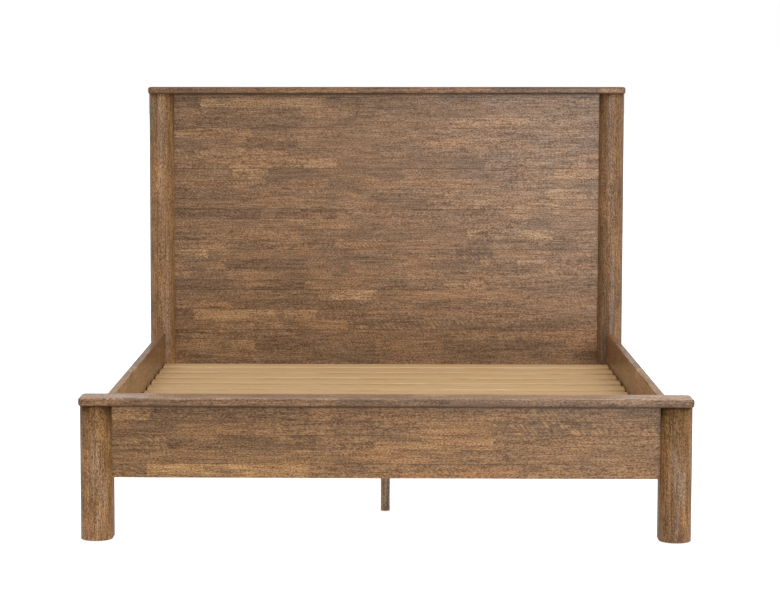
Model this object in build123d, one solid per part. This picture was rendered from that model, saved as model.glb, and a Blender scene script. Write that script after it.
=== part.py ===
from build123d import *
import os

# Wooden bed frame for a queen mattress. Millimetres, +Z up, +X to the right seen from the
# foot end, the footboard towards -Y. The origin is on the floor, in the middle of the frame.

# ---- Overall sizes ----
OVERALL_WIDTH = 1674.0
OVERALL_LENGTH = 2222.0
HEADBOARD_HEIGHT = 1221.0
FOOTBOARD_HEIGHT = 398.0
UNDERSIDE = 173.0  # height of the bottom edge of panels, side rails and beam
EDGE_EASE = 3.0  # rounding of the long edges of rails and posts

# ---- Caps on top of headboard and footboard ----
CAP_THICKNESS = 24.0
CAP_OVERHANG_SIDE = 1.0
CAP_OVERHANG_FACE = 6.0
CAP_CORNER_RADIUS = 14.0
CAP_EDGE_RADIUS = 7.0

# ---- Posts: half-round nose towards the foot end, square back ----
POST_WIDTH = 88.0
POST_DEPTH = 95.0
GLIDE_HEIGHT = 3.0
GLIDE_RADIUS = 18.0
GLIDE_NAIL_RADIUS = 2.0
GLIDE_NAIL_LENGTH = 14.0

# ---- Panels of tongued and grooved boards, housed in grooves in the posts ----
BOARD_THICKNESS = 25.0
BOARD_HEIGHT = 143.0
BOARD_SETBACK = 38.0  # from the nose of the posts to the face of the boards
BOARD_SEAM_EASE = 0.8
TOP_BOARD_HEIGHT = 120.0
HEADBOARD_BOARDS = 6
FOOTBOARD_SEAM_HEIGHT = 291.0
HOUSING_DEPTH = 12.0
HOUSING_END_GAP = 0.5
TONGUE_WIDTH = 8.0
TONGUE_HEIGHT = 8.0

# ---- Battens on the back of the headboard ----
BATTEN_WIDTH = 60.0
BATTEN_THICKNESS = 20.0
BATTEN_X = 400.0
BATTEN_END_GAP = 17.0
BATTEN_SCREW_LENGTH = 38.0
BATTEN_SCREW_SPREAD = 18.0

# ---- Side rails, the cleats on them and the slats ----
RAIL_THICKNESS = 25.0
RAIL_HEIGHT = 180.0
RAIL_SEAT_WIDTH = 30.0  # width of the flat milled on the nose of a headboard post
CLEAT_WIDTH = 38.0
CLEAT_HEIGHT = 30.0
CLEAT_HALF_LENGTH = 948.0
CLEAT_SCREW_LENGTH = 55.0
CLEAT_SCREW_PITCH = 330.0
CLEAT_SCREWS_PER_SIDE = 6
SLAT_COUNT = 13
SLAT_PITCH = 150.0
SLAT_WIDTH = 89.0
SLAT_THICKNESS = 19.0
SLAT_END_GAP = 4.5
SLAT_SCREW_LENGTH = 38.0

# ---- Centre beam, its hangers, its legs and their levelling feet ----
BEAM_WIDTH = 45.0
BEAM_HEIGHT = 60.0
BEAM_END_GAP = 0.5
LEG_PITCH = 585.0
LEG_THICKNESS = 26.0
LEG_DEPTH = 57.0
LEG_MORTISE_DEPTH = 30.0
LEG_SCREW_LENGTH = 30.0
LEG_SCREW_SPREAD = 14.0
HANGER_SHEET = 2.5
HANGER_LENGTH = 40.0
HANGER_HEIGHT = 54.0
HANGER_FLANGE = 25.0
HANGER_SCREW_LENGTH = 19.0
HANGER_SCREW_SPREAD = 16.0
FOOT_PAD_RADIUS = 9.0
FOOT_PAD_HEIGHT = 4.0
FOOT_STUD_RADIUS = 3.0
FOOT_STUD_LENGTH = 28.0
INSERT_RADIUS = 5.0
INSERT_LENGTH = 14.0
STUD_CLEARANCE = 0.05

# ---- Bed-rail fasteners: a hook plate in the rail's end, a slotted plate in the post ----
PLATE_WIDTH = 16.0
PLATE_HEIGHT = 118.0
PLATE_THICKNESS = 2.5
HOOK_THICKNESS = 3.0
HOOK_SPACING = 52.0
HOOK_HEIGHT = 18.0
HOOK_DROP = 8.0
HOOK_TONGUE = 3.5
PLATE_SCREW_SPREAD = 51.0
PLATE_SCREW_LENGTH = 35.0

# ---- Dowels and screws ----
DOWEL_RADIUS = 4.0
DOWEL_IN_CAP = 14.0
DOWEL_BELOW_CAP = 25.0
DOWEL_BOARD_PITCH = 500.0
SCREW_RADIUS = 2.0
SCREW_HEAD_RADIUS = 4.0
SCREW_POINT = 5.0
SCREW_SINK = 0.3  # how far a screw's head lies below the surface
CLEARANCE = 0.1  # around hidden fasteners and in joinery

# ---- Places that follow from the sizes above ----
POST_X = OVERALL_WIDTH / 2 - CAP_OVERHANG_SIDE - POST_WIDTH / 2
POST_INNER_X = POST_X - POST_WIDTH / 2
FOOT_POST_FRONT = -OVERALL_LENGTH / 2 + CAP_OVERHANG_FACE
FOOT_POST_BACK = FOOT_POST_FRONT + POST_DEPTH
HEAD_POST_BACK = OVERALL_LENGTH / 2 - CAP_OVERHANG_FACE
HEAD_POST_FRONT = HEAD_POST_BACK - POST_DEPTH
FOOT_PANEL_FRONT = FOOT_POST_FRONT + BOARD_SETBACK
FOOT_PANEL_BACK = FOOT_PANEL_FRONT + BOARD_THICKNESS
HEAD_PANEL_FRONT = HEAD_POST_FRONT + BOARD_SETBACK
HEAD_PANEL_BACK = HEAD_PANEL_FRONT + BOARD_THICKNESS
CAP_DEPTH = POST_DEPTH + 2 * CAP_OVERHANG_FACE
HEAD_CAP_UNDERSIDE = HEADBOARD_HEIGHT - CAP_THICKNESS
FOOT_CAP_UNDERSIDE = FOOTBOARD_HEIGHT - CAP_THICKNESS
RAIL_TOP = UNDERSIDE + RAIL_HEIGHT
RAIL_INNER_X = POST_X - RAIL_THICKNESS / 2
RAIL_SEAT_DEPTH = POST_WIDTH / 2 - ((POST_WIDTH / 2) ** 2 - (RAIL_SEAT_WIDTH / 2) ** 2) ** 0.5
RAIL_HEAD_END = HEAD_POST_FRONT + RAIL_SEAT_DEPTH
BEAM_TOP = UNDERSIDE + BEAM_HEIGHT
CLEAT_X = RAIL_INNER_X - CLEAT_WIDTH / 2
DECK_HEIGHT = BEAM_TOP + SLAT_THICKNESS
FOOT_PLAY = 0.3
LEG_BOTTOM = FOOT_PAD_HEIGHT + FOOT_PLAY
LEG_TOP = UNDERSIDE + LEG_MORTISE_DEPTH
PLATE_MIDDLE = UNDERSIDE + RAIL_HEIGHT / 2

SIDES = {"left": -1, "right": 1}
ENDS = {"foot": -1, "head": 1}
LEG_STATIONS = {"front": -LEG_PITCH, "middle": 0.0, "rear": LEG_PITCH}
SLAT_STATIONS = [(i - (SLAT_COUNT - 1) / 2) * SLAT_PITCH for i in range(SLAT_COUNT)]
SEAM_HEIGHTS = [HEAD_CAP_UNDERSIDE - TOP_BOARD_HEIGHT - i * BOARD_HEIGHT for i in range(HEADBOARD_BOARDS)]

# Turns that point a screw, made pointing down, along another direction.
TURN_TO = {
    "-z": (0, 0, 0),
    "+z": (180, 0, 0),
    "+y": (90, 0, 0),
    "-y": (-90, 0, 0),
    "+x": (0, -90, 0),
    "-x": (0, 90, 0),
}


# ---- Small helpers ----
def block(low, high):
    """A box between two opposite corners."""
    size = [b - a for a, b in zip(low, high)]
    middle = [(a + b) / 2 for a, b in zip(low, high)]
    return Pos(*middle) * Box(*size)


def eased(part, axis, radius):
    """The part with every edge along one axis rounded."""
    return fillet(part.edges().filter_by(axis), radius)


def aimed(x, y, z, direction):
    """Where a screw's head is, and the direction in which the screw points."""
    return Location((x, y, z), TURN_TO[direction])


def turned(profile):
    """A solid turned about the Z axis from (radius, height) points."""
    outline = Polyline([(radius, 0, height) for radius, height in profile], close=True)
    return revolve(make_face(outline), Axis.Z)


def screw(length):
    """Countersunk wood screw pointing down, its head just below z = 0."""
    head_depth = SCREW_HEAD_RADIUS - SCREW_RADIUS
    return turned(
        [
            (0, -SCREW_SINK),
            (SCREW_HEAD_RADIUS, -SCREW_SINK),
            (SCREW_RADIUS, -SCREW_SINK - head_depth),
            (SCREW_RADIUS, -length + SCREW_POINT),
            (0, -length),
        ]
    )


def screw_hole(length):
    """The countersunk hole that a screw of this length sits in."""
    head_depth = SCREW_HEAD_RADIUS - SCREW_RADIUS
    return turned(
        [
            (0, 1),
            (SCREW_HEAD_RADIUS + CLEARANCE, 1),
            (SCREW_HEAD_RADIUS + CLEARANCE, -SCREW_SINK),
            (SCREW_RADIUS + CLEARANCE, -SCREW_SINK - head_depth),
            (SCREW_RADIUS + CLEARANCE, -length - CLEARANCE),
            (0, -length - CLEARANCE),
        ]
    )


def drilled(part, tool, places):
    """The part with a tool's shape cut out at each of the places."""
    return part - [place * tool for place in places]


def gathered(shape, places):
    """One compound of separate copies of a shape, for fasteners that are all alike."""
    return Compound([solid for place in places for solid in (place * shape).solids()])


# ---- Places of the fasteners ----
def cap_dowel_places(end):
    """Tops of the dowels between one cap and its posts and top board."""
    underside = FOOT_CAP_UNDERSIDE if end == "foot" else HEAD_CAP_UNDERSIDE
    panel = FOOT_PANEL_FRONT if end == "foot" else HEAD_PANEL_FRONT
    post_middle = (FOOT_POST_FRONT if end == "foot" else HEAD_POST_FRONT) + POST_DEPTH / 2
    in_posts = [(side * POST_X, post_middle) for side in SIDES.values()]
    in_boards = [(i * DOWEL_BOARD_PITCH, panel + BOARD_THICKNESS / 2) for i in (-1, 0, 1)]
    return [Pos(x, y, underside) for x, y in in_posts + in_boards]


def plate_screw_places(end, side):
    """Screws of one pair of bed-rail plates: two into the post, two into the rail's end."""
    meeting = FOOT_POST_BACK if end == "foot" else RAIL_HEAD_END
    into_post, into_rail = ("-y", "+y") if end == "foot" else ("+y", "-y")
    x = SIDES[side] * POST_X
    heights = [PLATE_MIDDLE - PLATE_SCREW_SPREAD, PLATE_MIDDLE + PLATE_SCREW_SPREAD]
    post = [aimed(x, meeting, z, into_post) for z in heights]
    rail = [aimed(x, meeting, z, into_rail) for z in heights]
    return post, rail


def cleat_screw_places(side):
    """Screws through one cleat into its side rail."""
    x = SIDES[side] * (RAIL_INNER_X - CLEAT_WIDTH)
    z = BEAM_TOP - CLEAT_HEIGHT / 2
    direction = "+x" if side == "right" else "-x"
    middle = (CLEAT_SCREWS_PER_SIDE - 1) / 2
    return [aimed(x, (i - middle) * CLEAT_SCREW_PITCH, z, direction) for i in range(CLEAT_SCREWS_PER_SIDE)]


def slat_screw_places(station):
    """Screws through one slat: one into each cleat and one into the beam."""
    return [aimed(x, station, DECK_HEIGHT, "-z") for x in (-CLEAT_X, 0, CLEAT_X)]


def batten_screw_places(side):
    """Screws through one batten into every board of the headboard."""
    edges = [HEAD_CAP_UNDERSIDE] + SEAM_HEIGHTS + [UNDERSIDE]
    middles = [(above + below) / 2 for above, below in zip(edges, edges[1:])]
    back = HEAD_PANEL_BACK + BATTEN_THICKNESS
    columns = [SIDES[side] * BATTEN_X + spread for spread in (-BATTEN_SCREW_SPREAD, BATTEN_SCREW_SPREAD)]
    return [aimed(x, back, z, "-y") for x in columns for z in middles]


def leg_screw_places(station):
    """Screws through the beam's cheek into the top of one centre leg."""
    z = UNDERSIDE + LEG_MORTISE_DEPTH / 2
    return [aimed(BEAM_WIDTH / 2, station + d, z, "-x") for d in (-LEG_SCREW_SPREAD, LEG_SCREW_SPREAD)]


def hanger_screw_places(end):
    """Screws through the flanges of one beam hanger into the panel behind it."""
    face, direction = (FOOT_PANEL_BACK, "-y") if end == "foot" else (HEAD_PANEL_FRONT, "+y")
    y = face - ENDS[end] * HANGER_SHEET
    x = BEAM_WIDTH / 2 + CLEARANCE + HANGER_SHEET + (HANGER_FLANGE - HANGER_SHEET) / 2
    z = UNDERSIDE + HANGER_HEIGHT / 2
    heights = (z - HANGER_SCREW_SPREAD, z + HANGER_SCREW_SPREAD)
    return [aimed(side * x, y, height, direction) for side in SIDES.values() for height in heights]


# ---- Caps ----
def dowel():
    """Dowel standing across z = 0, with chamfered ends."""
    middle = (DOWEL_IN_CAP - DOWEL_BELOW_CAP) / 2
    pin = Pos(0, 0, middle) * Cylinder(DOWEL_RADIUS, DOWEL_IN_CAP + DOWEL_BELOW_CAP)
    return chamfer(pin.edges(), 1.0)


def dowel_hole():
    """The hole that a dowel sits in, on both sides of z = 0."""
    length = DOWEL_IN_CAP + DOWEL_BELOW_CAP + 2
    return Pos(0, 0, (DOWEL_IN_CAP - DOWEL_BELOW_CAP) / 2) * Cylinder(DOWEL_RADIUS + CLEARANCE, length)


def cap(end):
    """Cap of the headboard or footboard: a thin board with rounded corners and eased edges."""
    top = FOOTBOARD_HEIGHT if end == "foot" else HEADBOARD_HEIGHT
    y = ENDS[end] * (OVERALL_LENGTH - CAP_DEPTH) / 2
    outline = RectangleRounded(OVERALL_WIDTH, CAP_DEPTH, CAP_CORNER_RADIUS)
    board = extrude(outline, CAP_THICKNESS)
    rims = board.faces().filter_by(Axis.Z).edges()
    board = Pos(0, y, top - CAP_THICKNESS) * fillet(rims, CAP_EDGE_RADIUS)
    return drilled(board, dowel_hole(), cap_dowel_places(end))


# ---- Posts ----
def post_section():
    """Plan of a post with its nose at the origin: half-round in front, square behind."""
    radius = POST_WIDTH / 2
    back_depth = POST_DEPTH - radius
    section = Pos(0, radius) * Circle(radius)
    section += Pos(0, radius + back_depth / 2) * Rectangle(POST_WIDTH, back_depth)
    back_corners = section.vertices().group_by(Axis.Y)[-1]
    return fillet(back_corners, EDGE_EASE)


def glide():
    """Round nylon glide with its nail, under a post."""
    disc = Pos(0, 0, GLIDE_HEIGHT / 2) * Cylinder(GLIDE_RADIUS, GLIDE_HEIGHT)
    disc = chamfer(disc.edges().group_by(Axis.Z)[0], 1.0)
    nail = Pos(0, 0, GLIDE_HEIGHT + GLIDE_NAIL_LENGTH / 2) * Cylinder(GLIDE_NAIL_RADIUS, GLIDE_NAIL_LENGTH)
    return disc + nail


def glide_places():
    """Centres of the four posts on the floor."""
    middles = [FOOT_POST_FRONT + POST_DEPTH / 2, HEAD_POST_FRONT + POST_DEPTH / 2]
    return [Pos(side * POST_X, y, 0) for side in SIDES.values() for y in middles]


def post(end, side):
    """One post, with the housing for the boards, the seat for the rail and its fastener's mortise."""
    x = SIDES[side] * POST_X
    front = FOOT_POST_FRONT if end == "foot" else HEAD_POST_FRONT
    top = FOOT_CAP_UNDERSIDE if end == "foot" else HEAD_CAP_UNDERSIDE
    shaft = extrude(post_section(), top - GLIDE_HEIGHT)
    shaft = chamfer(shaft.faces().sort_by(Axis.Z)[0].edges(), 1.5)
    shaft = Pos(x, front, GLIDE_HEIGHT) * shaft

    inner = SIDES[side] * POST_INNER_X
    housing_x = sorted((inner - SIDES[side], inner + SIDES[side] * HOUSING_DEPTH))
    panel = front + BOARD_SETBACK
    housing = block(
        (housing_x[0], panel - CLEARANCE, UNDERSIDE - CLEARANCE),
        (housing_x[1], panel + BOARD_THICKNESS + CLEARANCE, top + 1),
    )
    nail_hole = Cylinder(GLIDE_NAIL_RADIUS + CLEARANCE, 2 * (GLIDE_HEIGHT + GLIDE_NAIL_LENGTH + 1))
    shaft -= [housing, Pos(x, front + POST_DEPTH / 2, 0) * nail_hole]
    if end == "head":
        half_seat = RAIL_SEAT_WIDTH / 2 + 1
        shaft -= block((x - half_seat, front - 1, UNDERSIDE), (x + half_seat, RAIL_HEAD_END, RAIL_TOP))
    shaft -= [rail_place(end, side) * cut for cut in post_mortise()]
    shaft = drilled(shaft, dowel_hole(), cap_dowel_places(end))
    return drilled(shaft, screw_hole(PLATE_SCREW_LENGTH), plate_screw_places(end, side)[0])


# ---- Bed-rail fasteners, made with the rail's end at y = 0 and the post beyond it ----
def rail_place(end, side):
    """Where one rail end meets its post, turned so that local +Y points into the post."""
    meeting = FOOT_POST_BACK if end == "foot" else RAIL_HEAD_END
    return Location((SIDES[side] * POST_X, meeting, PLATE_MIDDLE), (0, 0, 180 if end == "foot" else 0))


def hook():
    """One hook: a neck through the slot and a tongue that drops behind the post plate."""
    neck = PLATE_THICKNESS + 2 * CLEARANCE
    half = HOOK_HEIGHT / 2
    outline = Polyline(
        [
            (0, 0, half),
            (0, neck + HOOK_TONGUE, half),
            (0, neck + HOOK_TONGUE, -half - HOOK_DROP),
            (0, neck, -half - HOOK_DROP),
            (0, neck, -half),
            (0, 0, -half),
        ],
        close=True,
    )
    return extrude(make_face(outline), HOOK_THICKNESS / 2, dir=(1, 0, 0), both=True)


def hook_offsets():
    """Heights of the two hooks above and below the plate's middle."""
    return [Pos(0, 0, HOOK_SPACING / 2), Pos(0, 0, -HOOK_SPACING / 2)]


def rail_hook_plate():
    """Hook plate let into the end of a rail."""
    half_width, half_height = PLATE_WIDTH / 2, PLATE_HEIGHT / 2
    plate = block((-half_width, -PLATE_THICKNESS, -half_height), (half_width, 0, half_height))
    return plate + [place * hook() for place in hook_offsets()]


def post_plate():
    """Slotted plate let into a post."""
    half_width, half_height = PLATE_WIDTH / 2, PLATE_HEIGHT / 2
    plate = block((-half_width, 0, -half_height), (half_width, PLATE_THICKNESS, half_height))
    slot_half = HOOK_THICKNESS / 2 + 3 * CLEARANCE
    low = -HOOK_HEIGHT / 2 - 3 * CLEARANCE
    high = HOOK_HEIGHT / 2 + HOOK_DROP + 1
    slot = block((-slot_half, -1, low), (slot_half, PLATE_THICKNESS + 1, high))
    return plate - [place * slot for place in hook_offsets()]


def plate_recess(depth_from, depth_to):
    """Shallow recess for a plate, between two depths."""
    half_width, half_height = PLATE_WIDTH / 2 + CLEARANCE, PLATE_HEIGHT / 2 + CLEARANCE
    return block((-half_width, depth_from, -half_height), (half_width, depth_to, half_height))


def post_mortise():
    """Recess for the post plate and the deeper slot that the hooks drop in."""
    pocket_half = HOOK_THICKNESS / 2 + 1
    depth = PLATE_THICKNESS + HOOK_TONGUE + 2
    reach = HOOK_SPACING / 2 + HOOK_HEIGHT / 2 + HOOK_DROP + 2
    pocket = block((-pocket_half, 0, -reach), (pocket_half, depth, reach))
    return [plate_recess(-1, PLATE_THICKNESS), pocket]


def plate(end, side, shape):
    """A bed-rail plate at one corner, drilled for its screws."""
    places = plate_screw_places(end, side)
    holes = places[0] if shape is post_plate else places[1]
    return drilled(rail_place(end, side) * shape(), screw_hole(PLATE_SCREW_LENGTH), holes)


# ---- Boards of the two panels ----
def panel_board(panel_front, low, high, tongue, groove):
    """One board across a panel, tongued on top and grooved below where it meets another."""
    half_length = POST_INNER_X + HOUSING_DEPTH - HOUSING_END_GAP
    back = panel_front + BOARD_THICKNESS
    middle = panel_front + BOARD_THICKNESS / 2
    board = block((-half_length, panel_front, low), (half_length, back, high))
    face = board.faces().sort_by(Axis.Y)[0]
    long_edges = face.edges().filter_by(Axis.X)
    board = chamfer(long_edges, BOARD_SEAM_EASE)
    if tongue:
        half = TONGUE_WIDTH / 2
        top = high + TONGUE_HEIGHT
        board += block((-half_length, middle - half, high), (half_length, middle + half, top))
    if groove:
        half = TONGUE_WIDTH / 2 + CLEARANCE
        top = low + TONGUE_HEIGHT + 4 * CLEARANCE
        past_end = half_length + 1
        board -= block((-past_end, middle - half, low - 1), (past_end, middle + half, top))
    return board


def headboard_boards():
    """The boards of the headboard by name, from the top down, with the lower rail last."""
    edges = [HEAD_CAP_UNDERSIDE] + SEAM_HEIGHTS + [UNDERSIDE]
    names = [f"headboard_board_{i + 1}" for i in range(HEADBOARD_BOARDS)] + ["headboard_lower_rail"]
    screws = [place for side in SIDES for place in batten_screw_places(side)]
    boards = {}
    for name, high, low in zip(names, edges, edges[1:]):
        is_top = high == HEAD_CAP_UNDERSIDE
        is_lowest = low == UNDERSIDE
        board = panel_board(HEAD_PANEL_FRONT, low, high, tongue=not is_top, groove=not is_lowest)
        near = [place for place in screws if low < place.position.Z < high]
        board = drilled(board, screw_hole(BATTEN_SCREW_LENGTH), near)
        if is_top:
            board = drilled(board, dowel_hole(), cap_dowel_places("head"))
        if is_lowest:
            board = drilled(board, screw_hole(HANGER_SCREW_LENGTH), hanger_screw_places("head"))
        boards[name] = board
    return boards


def footboard_boards():
    """The two boards of the footboard by name."""
    seam = FOOTBOARD_SEAM_HEIGHT
    upper = panel_board(FOOT_PANEL_FRONT, seam, FOOT_CAP_UNDERSIDE, tongue=False, groove=True)
    lower = panel_board(FOOT_PANEL_FRONT, UNDERSIDE, seam, tongue=True, groove=False)
    lower = drilled(lower, screw_hole(HANGER_SCREW_LENGTH), hanger_screw_places("foot"))
    upper = drilled(upper, dowel_hole(), cap_dowel_places("foot"))
    return {"footboard_board_upper": upper, "footboard_board_lower": lower}


def batten(side):
    """Upright batten across the back of the headboard's boards."""
    x = SIDES[side] * BATTEN_X
    half = BATTEN_WIDTH / 2
    low, high = UNDERSIDE + BATTEN_END_GAP, HEAD_CAP_UNDERSIDE - BATTEN_END_GAP
    strip = block((x - half, HEAD_PANEL_BACK, low), (x + half, HEAD_PANEL_BACK + BATTEN_THICKNESS, high))
    back_edges = strip.faces().sort_by(Axis.Y)[-1].edges()
    strip = fillet(back_edges, EDGE_EASE)
    return drilled(strip, screw_hole(BATTEN_SCREW_LENGTH), batten_screw_places(side))


# ---- Side rails, cleats and slats ----
def side_rail(side):
    """Side rail from the footboard post to the flat on the headboard post."""
    x = SIDES[side] * POST_X
    half = RAIL_THICKNESS / 2
    rail = block((x - half, FOOT_POST_BACK, UNDERSIDE), (x + half, RAIL_HEAD_END, RAIL_TOP))
    rail = eased(rail, Axis.Y, EDGE_EASE)
    for end in ENDS:
        rail -= rail_place(end, side) * plate_recess(-PLATE_THICKNESS, 1)
        rail = drilled(rail, screw_hole(PLATE_SCREW_LENGTH), plate_screw_places(end, side)[1])
    return drilled(rail, screw_hole(CLEAT_SCREW_LENGTH), cleat_screw_places(side))


def slat_cleat(side):
    """Ledge along the inside of a side rail."""
    x = sorted((SIDES[side] * RAIL_INNER_X, SIDES[side] * (RAIL_INNER_X - CLEAT_WIDTH)))
    low = (x[0], -CLEAT_HALF_LENGTH, BEAM_TOP - CLEAT_HEIGHT)
    high = (x[1], CLEAT_HALF_LENGTH, BEAM_TOP)
    cleat = drilled(block(low, high), screw_hole(CLEAT_SCREW_LENGTH), cleat_screw_places(side))
    down = [place for station in SLAT_STATIONS for place in slat_screw_places(station)]
    near = [place for place in down if x[0] < place.position.X < x[1]]
    return drilled(cleat, screw_hole(SLAT_SCREW_LENGTH), near)


def slat(station):
    """One slat across both cleats and the beam."""
    half_length = RAIL_INNER_X - SLAT_END_GAP
    half = SLAT_WIDTH / 2
    board = block((-half_length, station - half, BEAM_TOP), (half_length, station + half, DECK_HEIGHT))
    board = eased(board, Axis.X, EDGE_EASE)
    return drilled(board, screw_hole(SLAT_SCREW_LENGTH), slat_screw_places(station))


# ---- Centre beam, hangers, legs and feet ----
def centre_beam():
    """Beam along the middle, mortised for its legs and rebated for its hangers."""
    half = BEAM_WIDTH / 2
    ends = {"foot": FOOT_PANEL_BACK + BEAM_END_GAP, "head": HEAD_PANEL_FRONT - BEAM_END_GAP}
    beam = block((-half, ends["foot"], UNDERSIDE), (half, ends["head"], BEAM_TOP))
    beam = eased(beam, Axis.Y, EDGE_EASE)
    for end, y in ends.items():
        rebate_y = sorted((y + ENDS[end], y - ENDS[end] * (HANGER_LENGTH + 1)))
        rebate_top = UNDERSIDE + HANGER_SHEET + CLEARANCE
        beam -= block((-half - 1, rebate_y[0], UNDERSIDE - 1), (half + 1, rebate_y[1], rebate_top))
    for station in LEG_STATIONS.values():
        beam -= block(
            (-LEG_THICKNESS / 2 - CLEARANCE, station - LEG_DEPTH / 2 - CLEARANCE, UNDERSIDE - 1),
            (LEG_THICKNESS / 2 + CLEARANCE, station + LEG_DEPTH / 2 + CLEARANCE, LEG_TOP),
        )
        beam = drilled(beam, screw_hole(LEG_SCREW_LENGTH), leg_screw_places(station))
    middles = [slat_screw_places(station)[1] for station in SLAT_STATIONS]
    return drilled(beam, screw_hole(SLAT_SCREW_LENGTH), middles)


def beam_hanger(end):
    """Folded steel hanger: a seat, two cheeks and two flanges on the panel."""
    toward_middle = -ENDS[end]
    face = FOOT_PANEL_BACK if end == "foot" else HEAD_PANEL_FRONT
    inside = BEAM_WIDTH / 2 + CLEARANCE
    outside = inside + HANGER_SHEET
    top = UNDERSIDE + HANGER_HEIGHT
    reach = sorted((face, face + toward_middle * HANGER_LENGTH))
    flange = sorted((face, face + toward_middle * HANGER_SHEET))
    hanger = block((-outside, reach[0], UNDERSIDE), (outside, reach[1], UNDERSIDE + HANGER_SHEET))
    for side in SIDES.values():
        cheek_x = sorted((side * inside, side * outside))
        flange_x = sorted((side * inside, side * (inside + HANGER_FLANGE)))
        hanger += block((cheek_x[0], reach[0], UNDERSIDE), (cheek_x[1], reach[1], top))
        hanger += block((flange_x[0], flange[0], UNDERSIDE), (flange_x[1], flange[1], top))
    return drilled(hanger, screw_hole(HANGER_SCREW_LENGTH), hanger_screw_places(end))


def centre_leg(station):
    """Board leg on edge under the beam, drilled for its levelling foot."""
    half_x, half_y = LEG_THICKNESS / 2, LEG_DEPTH / 2
    leg = block((-half_x, station - half_y, LEG_BOTTOM), (half_x, station + half_y, LEG_TOP))
    leg = eased(leg, Axis.Z, 1.5)
    stud_room = 2 * (FOOT_PAD_HEIGHT + FOOT_STUD_LENGTH + 2)
    leg -= Pos(0, station, 0) * Cylinder(FOOT_STUD_RADIUS + 0.5, stud_room)
    leg -= Pos(0, station, 0) * Cylinder(INSERT_RADIUS + CLEARANCE, 2 * (LEG_BOTTOM + INSERT_LENGTH + 1))
    return drilled(leg, screw_hole(LEG_SCREW_LENGTH), leg_screw_places(station))


def foot_insert():
    """Threaded sleeve in the bottom of a centre leg, drawn with a plain bore."""
    sleeve = Cylinder(INSERT_RADIUS, INSERT_LENGTH)
    sleeve -= Cylinder(FOOT_STUD_RADIUS + STUD_CLEARANCE, INSERT_LENGTH)
    return Pos(0, 0, LEG_BOTTOM + 0.5 + INSERT_LENGTH / 2) * sleeve


def levelling_foot(station):
    """Levelling foot: a low round pad and its stud."""
    pad = Pos(0, 0, FOOT_PAD_HEIGHT / 2) * Cylinder(FOOT_PAD_RADIUS, FOOT_PAD_HEIGHT)
    pad = chamfer(pad.edges().group_by(Axis.Z)[0], 0.8)
    stud = Pos(0, 0, FOOT_PAD_HEIGHT + FOOT_STUD_LENGTH / 2) * Cylinder(FOOT_STUD_RADIUS, FOOT_STUD_LENGTH)
    return Pos(0, station, 0) * (pad + stud)


# ---- The whole frame ----
def wood_nodes():
    """Every wooden piece by name."""
    nodes = {"headboard_cap": cap("head"), "footboard_cap": cap("foot"), "centre_beam": centre_beam()}
    nodes.update(headboard_boards())
    nodes.update(footboard_boards())
    for side in SIDES:
        nodes[f"headboard_post_{side}"] = post("head", side)
        nodes[f"footboard_post_{side}"] = post("foot", side)
        nodes[f"headboard_batten_{side}"] = batten(side)
        nodes[f"side_rail_{side}"] = side_rail(side)
        nodes[f"slat_cleat_{side}"] = slat_cleat(side)
    for number, station in enumerate(SLAT_STATIONS, start=1):
        nodes[f"slat_{number:02d}"] = slat(station)
    for name, station in LEG_STATIONS.items():
        nodes[f"centre_leg_{name}"] = centre_leg(station)
    return nodes


def fitting_nodes():
    """Every plate, hanger, foot and glide by name."""
    nodes = {"post_glides": gathered(glide(), glide_places())}
    nodes["foot_inserts"] = gathered(foot_insert(), [Pos(0, y, 0) for y in LEG_STATIONS.values()])
    for end in ENDS:
        nodes[f"beam_hanger_{end}"] = beam_hanger(end)
        for side in SIDES:
            nodes[f"rail_hook_{end}_{side}"] = plate(end, side, rail_hook_plate)
            nodes[f"post_plate_{end}_{side}"] = plate(end, side, post_plate)
    for name, station in LEG_STATIONS.items():
        nodes[f"levelling_foot_{name}"] = levelling_foot(station)
    return nodes


def fastener_nodes():
    """Dowels and screws, one group for each kind."""
    dowels = [place for end in ENDS for place in cap_dowel_places(end)]
    slat_screws = [place for station in SLAT_STATIONS for place in slat_screw_places(station)]
    cleat_screws = [place for side in SIDES for place in cleat_screw_places(side)]
    batten_screws = [place for side in SIDES for place in batten_screw_places(side)]
    hanger_screws = [place for end in ENDS for place in hanger_screw_places(end)]
    leg_screws = [place for station in LEG_STATIONS.values() for place in leg_screw_places(station)]
    plate_screws = []
    for end in ENDS:
        for side in SIDES:
            for places in plate_screw_places(end, side):
                plate_screws += places
    return {
        "cap_dowels": gathered(dowel(), dowels),
        "slat_screws": gathered(screw(SLAT_SCREW_LENGTH), slat_screws),
        "cleat_screws": gathered(screw(CLEAT_SCREW_LENGTH), cleat_screws),
        "batten_screws": gathered(screw(BATTEN_SCREW_LENGTH), batten_screws),
        "hanger_screws": gathered(screw(HANGER_SCREW_LENGTH), hanger_screws),
        "plate_screws": gathered(screw(PLATE_SCREW_LENGTH), plate_screws),
        "leg_screws": gathered(screw(LEG_SCREW_LENGTH), leg_screws),
    }


os.makedirs("parts", exist_ok=True)
for node, shape in {**wood_nodes(), **fitting_nodes(), **fastener_nodes()}.items():
    export_step(shape, f"parts/{node}.step")
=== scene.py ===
import math
from collections import namedtuple

import bmesh
import bpy
from mathutils import Matrix, Vector


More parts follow.
